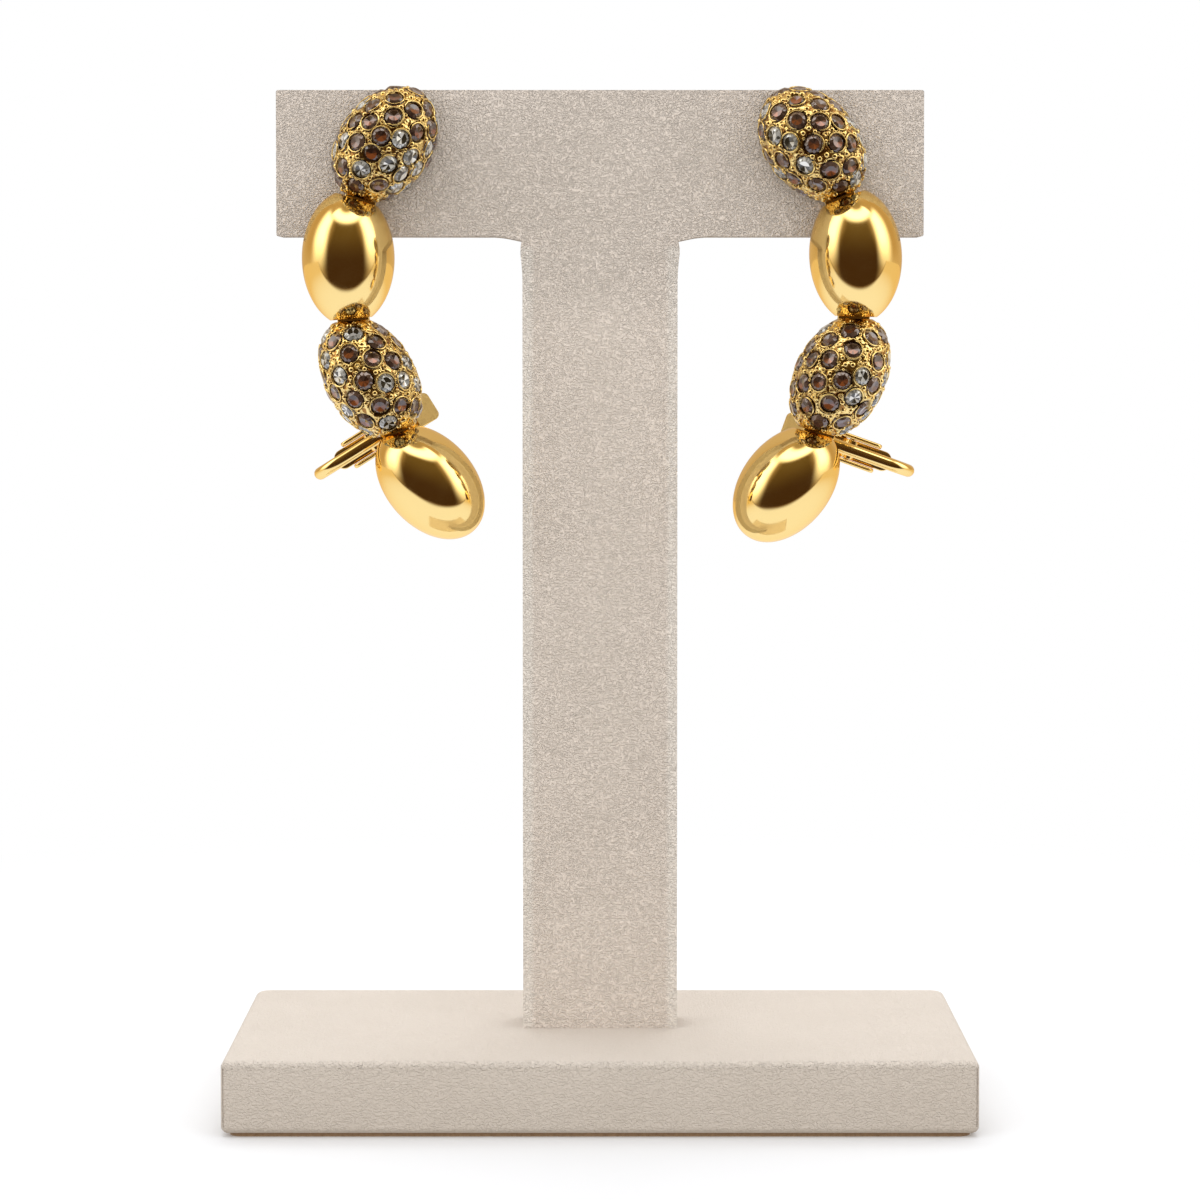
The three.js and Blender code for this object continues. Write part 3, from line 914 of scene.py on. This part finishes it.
# A round cut stone: a table of star facets, a faceted crown and a pointed back.
def cutStone(bm, one):
    radius = one["radius"]
    verts = bmesh.ops.create_cone(bm, cap_ends=True, segments=stone["sides"], radius1=radius,
                                  radius2=radius * stone["table"], depth=stone["crown"])["verts"]
    sink = stone["sink"] + (stone["lost"] if one["kind"] == "e" else 0)
    bmesh.ops.translate(bm, vec=(0, 0, stone["crown"] / 2 - sink), verts=verts)
    faces = list(dict.fromkeys(face for vert in verts for face in vert.link_faces))
    crown = [face for face in faces if len(face.verts) == 4]
    back, table = sorted((face for face in faces if len(face.verts) > 4),
                         key=lambda face: face.calc_center_median().z)
    parts = []
    for group, offset, kind in (([back], stone["pavilion"], "back"), ([table], -stone["dish"], "table"),
                                (crown, stone["bulge"], "crown")):
        poked = bmesh.ops.poke(bm, faces=group, offset=offset)
        parts += [(face, kind) for face in poked["faces"]]
        verts = verts + poked["verts"]
    turn = facing(one["normal"])
    wobble = math.radians(stone["wobble"])
    for axis, most in (("X", wobble), ("Y", wobble), ("Z", math.pi)):
        turn = turn @ Matrix.Rotation(chance.uniform(-most, most), 4, axis)
    bmesh.ops.transform(bm, matrix=Matrix.Translation(one["at"]) @ turn, verts=verts)
    paintStone(parts, one, bm.loops.layers.float_color["facet"])


def makeStones(side, dome, stones):
    brown, clear = ("bge", brownCrystal, "brown_crystal"), ("c", clearCrystal, "clear_crystal")
    for kinds, material, slot in (brown, clear):
        bm = bmesh.new()
        bm.loops.layers.float_color.new("facet")
        for one in stones:
            if one["kind"] in kinds:
                cutStone(bm, one)
        finishPiece(bm, f"{slot}_{dome['name']}_{side}", material, cuffPlace(side), smooth=False)


def eased(value):
    value = min(max(value, 0), 1)
    return value * value * (3 - 2 * value)


# The metal between the stones: seats sunk under each stone, rippled ridges left standing between them,
# and painted shade in the seats and along the seams.
def makePaveBody(side, dome, stones):
    bm = domeForm(dome, "paved")
    tree = KDTree(len(stones))
    for number, one in enumerate(stones):
        tree.insert(one["at"], number)
    tree.balance()
    paintedShades, moves = {}, []
    for vert in bm.verts:
        fromSeam = seamDistance(vert.co, dome)
        if -vert.co.y < seat["lowest"] or fromSeam < seat["clear"]:
            continue
        number, distance = tree.find(vert.co)[1:]
        clear = distance - stones[number]["radius"]
        rise = eased((clear + seat["ease"]) / seat["slope"])
        ripple = noise.noise(vert.co * seat["ripples"]) * seat["ripple"] * min(fromSeam, 1)
        lift = seat["ridge"] * rise + ripple * rise - seat["depth"] * (1 - rise)
        moves.append((vert, vert.co + vert.normal * lift))
        # Painted shade: each seat is painted darker towards its stone, less so in an empty seat, and so is a
        # strip along each seam.
        deep = seat["emptySeatShade"] if stones[number]["kind"] == "e" else 1
        paintedShade = deep * (1 - eased((clear + seat["paintedShadeEase"]) / seat["paintedShade"]))
        paintedShades[vert] = max(paintedShade, seat["seamShade"] * (1 - eased(fromSeam / seat["collar"])))
    for vert, spot in moves:
        vert.co = spot
    paint = bm.loops.layers.float_color.new("depth")
    for face in bm.faces:
        for loop in face.loops:
            value = paintedShades.get(loop.vert, 0)
            loop[paint] = (value, value, value, 1)
    name = f"{dome['name']}_{side}"
    obj = finishPiece(bm, f"paved_{name}", pavedGold, cuffPlace(side), replaces=name)
    wallBehind(obj, creases["pavedWall"], lining=wireGold)


# Grains of metal in the gaps between stones, the widest gaps first, with some left out.
def placeBeads(stones, spots, dome):
    options = []
    for spot in spots:
        fromSeam = seamDistance(spot, dome)
        if -spot.y >= bead["lowest"] and fromSeam >= bead["seamClear"]:
            clear = min(fromSeam, min((spot - one["at"]).length - one["radius"] for one in stones))
            if clear > bead["clear"]:
                options.append((clear, spot))
    options.sort(key=lambda option: -option[0])
    taken = []
    for clear, spot in options:
        radius = min(bead["largest"], max(bead["smallest"], clear * bead["fill"]))
        if all((spot - other).length > bead["spacing"] * (radius + size) for other, size, kept in taken):
            taken.append((spot, radius, chance.random() > bead["missing"]))
    return [(spot, radius) for spot, radius, kept in taken if kept]


# Joins a small piece to the rest of its mesh.
def addPart(bm, part):
    mesh = meshFrom(part, "part")
    bm.from_mesh(mesh)
    bpy.data.meshes.remove(mesh)


def spunWire(ring, thickness, sweep, steps):
    bm = bmesh.new()
    bmesh.ops.create_circle(bm, cap_ends=True, segments=6, radius=thickness)
    bm.transform(shifted(ring, 0, 0) @ turned(90, "X"))
    whole = sweep >= 2 * math.pi
    if whole:
        bmesh.ops.delete(bm, geom=bm.faces[:], context="FACES_ONLY")
    geom = bm.edges[:] + bm.verts[:] if whole else bm.faces[:]
    bmesh.ops.spin(bm, geom=geom, cent=(0, 0, 0), axis=(0, 0, 1), angle=sweep, steps=steps, use_merge=whole)
    return bm


# From flat on the ground to a slope, turned anyhow about its normal.
def dropped(normal):
    return facing(normal) @ Matrix.Rotation(chance.uniform(0, 2 * math.pi), 4, "Z")


# A wire bent round a stone's edge, thinning to its ends.
def bentWire(one):
    ring, thinnest = one["radius"] + wire["outside"], wire["thinnest"]
    sweep = math.radians(chance.uniform(*wire["sweep"]))
    bm = spunWire(ring, chance.uniform(*wire["radius"]), sweep, wire["steps"])
    for vert in bm.verts:
        angle = math.atan2(vert.co.y, vert.co.x) % (2 * math.pi)
        middle = Vector((math.cos(angle), math.sin(angle), 0)) * ring
        along = min(angle / sweep, 1) if angle < sweep + 1 else 0
        share = thinnest + (1 - thinnest) * math.sin(math.pi * along) ** 0.5
        vert.co = middle + (vert.co - middle) * share
    bm.transform(Matrix.Translation(one["at"] + one["normal"] * wire["rise"]) @ dropped(one["normal"]))
    return bm


# A grain of metal: a round bead, or a small ring with a hollow middle.
def grain(spot, normal, radius):
    if chance.random() < bead["ring"]:
        thickness = radius * bead["ringWire"]
        bm = spunWire(radius - thickness, thickness, 2 * math.pi, 8)
        bm.transform(Matrix.Translation(spot + normal * seat["ridge"]) @ dropped(normal))
        return bm
    bm = bmesh.new()
    bmesh.ops.create_uvsphere(bm, u_segments=8, v_segments=6, radius=radius)
    bm.transform(Matrix.Translation(spot + normal * (seat["ridge"] - bead["sunk"] * radius)))
    return bm


def makeGrains(side, dome, beads, stones, tree):
    bm = bmesh.new()
    for spot, radius in beads:
        addPart(bm, grain(spot, tree.find_nearest(spot)[1], radius))
    for one in stones:
        if -one["at"].y > wire["lowest"] and seamDistance(one["at"], dome) > one["radius"] + wire["clear"]:
            for _ in range(chance.randint(1, wire["mostOnStone"])):
                addPart(bm, bentWire(one))
    finishPiece(bm, f"bead_prongs_{dome['name']}_{side}", wireGold, cuffPlace(side))


def makePavedDome(side, dome):
    guide, fineGuide = domeForm(dome, "guide"), domeForm(dome, "fineGuide")
    tree = BVHTree.FromBMesh(guide)
    spots = [vert.co.copy() for vert in guide.verts]
    fineSpots = [vert.co.copy() for vert in fineGuide.verts]
    guide.free()
    fineGuide.free()
    stones = settleStones(tree, side, dome)
    easeApart(stones, tree, dome, stone["firstEasing"])
    fillSides(stones, spots, dome)
    easeApart(stones, tree, dome, stone["lastEasing"])
    sizeStones(stones, tree, dome)
    makePaveBody(side, dome, stones)
    makeStones(side, dome, stones)
    beads = placeBeads(stones, fineSpots, dome)
    makeGrains(side, dome, beads, stones, tree)
    print("paved", dome["name"], side, len(stones), "stones,", len(beads), "beads")


for side in cuffs:
    for dome in domes:
        if (side, dome["name"]) in stoneCharts:
            makePavedDome(side, dome)
        else:
            makeSmoothDome(side, dome)
print("domes made")


# Back bar with its post, arm, tongue and hinge knuckle, and the lever that swings on it

backBar = {
    "y": 0.8, "width": 4.4, "thickness": 1, "reach": 3, "edge": 0.2, "capStep": 15,
    "post": 0.45, "postLength": 6.5, "postEdge": 0.15,
    "arm": 0.86, "armDepth": 1.1, "bend": 3.3, "tip": -14.5,
    "tongue": -11.4, "tongueWidth": 2.8, "tongueThickness": 0.5, "tongueFront": 0.25, "tongueCorner": 1.2,
    "tongueEdge": 0.22, "knuckle": 1, "knuckleWidth": 2.7, "knuckleEdge": 0.1, "pinHole": 0.5,
}


# A round bar between two points.
def rod(radius, start, end, soft=0):
    bm = bmesh.new()
    start, end = Vector(start), Vector(end)
    bmesh.ops.create_cone(bm, cap_ends=True, segments=32, radius1=radius, radius2=radius,
                          depth=(end - start).length)
    if soft:
        roundEdges(bm, sharpEdges(bm, creases["metal"]), soft, 3)
    bm.transform(Matrix.Translation((start + end) / 2) @ facing(end - start))
    return bm


# A flat plate from y = 0 backwards, through (x, z, radius) corners.
def slab(corners, thickness, soft=0):
    bm = bmesh.new()
    outlineFace(bm, corners)
    drawOut(bm, bm.faces[:], (0, thickness, 0))
    if soft:
        roundEdges(bm, edgesAcross(sharpEdges(bm, creases["metal"]), 1), soft, 2)
    return bm


# The points of a smooth line down the middles of the domes and seams.
def barRoute():
    def pastEnd(dome, distance):
        lean = math.radians(dome["tilt"])
        return (dome["at"][0] + distance * math.sin(lean), dome["at"][1] + distance * math.cos(lean))

    stops = [part["at"] for pair in zip(domes, seams) for part in pair] + [domes[-1]["at"]]
    route = [pastEnd(domes[0], backBar["reach"]), *stops, pastEnd(domes[-1], -backBar["reach"])]
    curve = bpy.data.curves.new("route", "CURVE")
    curve.dimensions = "3D"
    spline = curve.splines.new("BEZIER")
    spline.bezier_points.add(len(route) - 1)
    for point, (x, z) in zip(spline.bezier_points, route):
        point.co = (x, 0, z)
        point.handle_left_type = point.handle_right_type = "AUTO"
    spline.resolution_u = 8
    guide = addObject("route", curve)
    seen = guide.evaluated_get(bpy.context.evaluated_depsgraph_get())
    line = [vert.co.copy() for vert in seen.to_mesh().vertices]
    seen.to_mesh_clear()
    bpy.data.objects.remove(guide)
    bpy.data.curves.remove(curve)
    return line


# A flat strip with round ends, bent along the route.
def barStrip():
    line, half = barRoute(), backBar["width"] / 2
    spots = []
    for number, spot in enumerate(line):
        ahead = line[min(number + 1, len(line) - 1)] - line[max(number - 1, 0)]
        spots.append((spot, ahead.normalized(), half))
    angles = [math.radians(degrees) for degrees in range(backBar["capStep"], 90, backBar["capStep"])]
    for end, sign in ((0, -1), (-1, 1)):
        spot, ahead, _ = spots[end]
        cap = [(spot + ahead * sign * half * math.sin(angle), ahead, half * math.cos(angle))
               for angle in angles]
        spots = cap[::-1] + spots if end == 0 else spots + cap
    bm = bmesh.new()
    bmesh.ops.create_grid(bm, x_segments=len(spots) - 1, y_segments=1, size=1)
    columns = sorted(bm.verts, key=lambda vert: (round(vert.co.x, 4), vert.co.y))
    for number, (spot, ahead, reach) in enumerate(spots):
        aside = Vector((ahead.z, 0, -ahead.x)) * reach
        columns[2 * number].co = spot - aside
        columns[2 * number + 1].co = spot + aside
    drawOut(bm, bm.faces[:], (0, backBar["thickness"], 0))
    bmesh.ops.translate(bm, vec=(0, backBar["y"] - backBar["thickness"] / 2, 0), verts=bm.verts)
    roundEdges(bm, edgesAcross(sharpEdges(bm, creases["metal"]), 1), backBar["edge"], 3)
    return bm


# A round wire from the middle of the bar out to the tip, bent back on itself to the hinge.
def bentArm():
    radius, depth, bend = backBar["arm"], backBar["armDepth"], backBar["bend"]
    turnAt = backBar["tip"] + radius + bend
    bm = bmesh.new()
    bmesh.ops.create_circle(bm, cap_ends=True, segments=28, radius=radius)
    bm.transform(shifted(0, depth, 0) @ turned(90))
    end = drawOut(bm, bm.faces[:], (turnAt, 0, 0))
    swept = bmesh.ops.spin(bm, geom=end, cent=(turnAt, depth + bend, 0), axis=(0, 0, 1), angle=-math.pi,
                           steps=40)
    drawOut(bm, only(swept["geom_last"], bmesh.types.BMFace), (clip["pin"] - turnAt, 0, 0))
    inner = [face for face in bm.faces if all(len(edge.link_faces) > 2 for edge in face.edges)]
    bmesh.ops.delete(bm, geom=inner, context="FACES_ONLY")
    return bm


def makeBackBar(side):
    half, corner = backBar["tongueWidth"] / 2, backBar["tongueCorner"]
    start, pinAt, depth, y = backBar["tongue"], clip["pin"], clip["pinDepth"], backBar["y"]
    post = rod(backBar["post"], (0, y, 0), (0, y + backBar["postLength"], 0), backBar["postEdge"])
    metal = boolean(barStrip(), post, "UNION")
    tongue = slab([(start, -half, corner), (pinAt, -half, 0), (pinAt, half, 0), (start, half, corner)],
                  backBar["tongueThickness"], backBar["tongueEdge"])
    tongue.transform(shifted(0, depth + backBar["tongueFront"], 0))
    clipMetal = boolean(bentArm(), tongue, "UNION")
    width = backBar["knuckleWidth"] / 2
    knuckle = rod(backBar["knuckle"], (pinAt, depth, -width), (pinAt, depth, width), backBar["knuckleEdge"])
    clipMetal = boolean(clipMetal, knuckle, "UNION")
    bore = rod(backBar["pinHole"], (pinAt, depth, -2 * width), (pinAt, depth, 2 * width))
    clipMetal = boolean(clipMetal, bore, "DIFFERENCE")
    clipMetal.transform(clipPlace(side))
    metal = boolean(metal, clipMetal, "UNION")
    finishPiece(metal, f"bar_and_arm_{side}", polishedGold, cuffPlace(side),
                replaces=f"back_bar_{side}", sharp=creases["shading"])


# Measured from the pin, along the clip and towards its front or back. The tab leans back from the rim.
lever = {
    "width": 4.2, "wall": 0.65, "front": 1, "floor": 1.3, "heel": 4.2, "rimEnd": 4, "tabStart": 6.6,
    "tabEnd": 9.6, "tabLean": 2.6, "corner": 0.8, "knuckleRoom": 0.85, "softEdge": 0.29,
    "bends": {"heelFront": 0.9, "rimEnd": 1, "tabFold": 0.5, "heelBack": 1.2},
}
pin = {"radius": 0.35, "clearance": 0.03, "sunk": 0.04, "edge": 0.1}


def makeLever(side):
    half, wall, bends = lever["width"] / 2, lever["wall"], lever["bends"]
    front, floor, heel, lean = lever["front"], lever["floor"], lever["heel"], lever["tabLean"]
    fold, end = lever["tabStart"], lever["tabEnd"]
    back = floor + wall
    # Seen from the side, with the front upwards.
    profile = slab([
        (-heel, -front, bends["heelFront"]), (lever["rimEnd"], -front, bends["rimEnd"]),
        (fold, floor, bends["tabFold"]), (end, floor + lean, 0), (end, back + lean, 0),
        (fold, back, bends["tabFold"]), (-heel, back, bends["heelBack"]),
    ], lever["width"])
    profile.transform(shifted(0, 0, half) @ turned(-90, "X"))
    corner = lever["corner"]
    plan = slab([(-heel, -half, 0), (end, -half, corner), (end, half, corner), (-heel, half, 0)],
                front + back + lean)
    plan.transform(shifted(0, -front, 0))
    body = boolean(profile, plan, "INTERSECT")
    inner = half - wall
    body = boolean(body, block(-2 * heel, 2 * end, -2 * front, floor, -inner, inner), "DIFFERENCE")
    body = boolean(body, block(-2 * heel, lever["knuckleRoom"], 0, 2 * back, -inner, inner), "DIFFERENCE")
    hole = pin["radius"] + pin["clearance"]
    body = boolean(body, rod(hole, (0, 0, -2 * half), (0, 0, 2 * half)), "DIFFERENCE")
    rims = [edge for edge in edgesAcross(sharpEdges(body, creases["metal"]), 2)
            if edge.verts[0].co.xy.length > 1.5 * hole]
    roundEdges(body, rims, lever["softEdge"], 4, clamp=False)
    place = cuffPlace(side) @ clipPlace(side) @ shifted(clip["pin"], clip["pinDepth"], 0)
    finishPiece(body, f"sprung_lever_{side}", polishedGold, place,
                body=f"clip_{side}", replaces=f"clip_lever_{side}", sharp=creases["shading"])
    reach = half - pin["sunk"]
    finishPiece(rod(pin["radius"], (0, 0, -reach), (0, 0, reach), pin["edge"]), f"clip_pin_{side}",
                polishedGold, place, body=f"clip_{side}", replaces=f"hinge_pin_{side}")


for side in cuffs:
    makeBackBar(side)
    makeLever(side)
print("clips made")
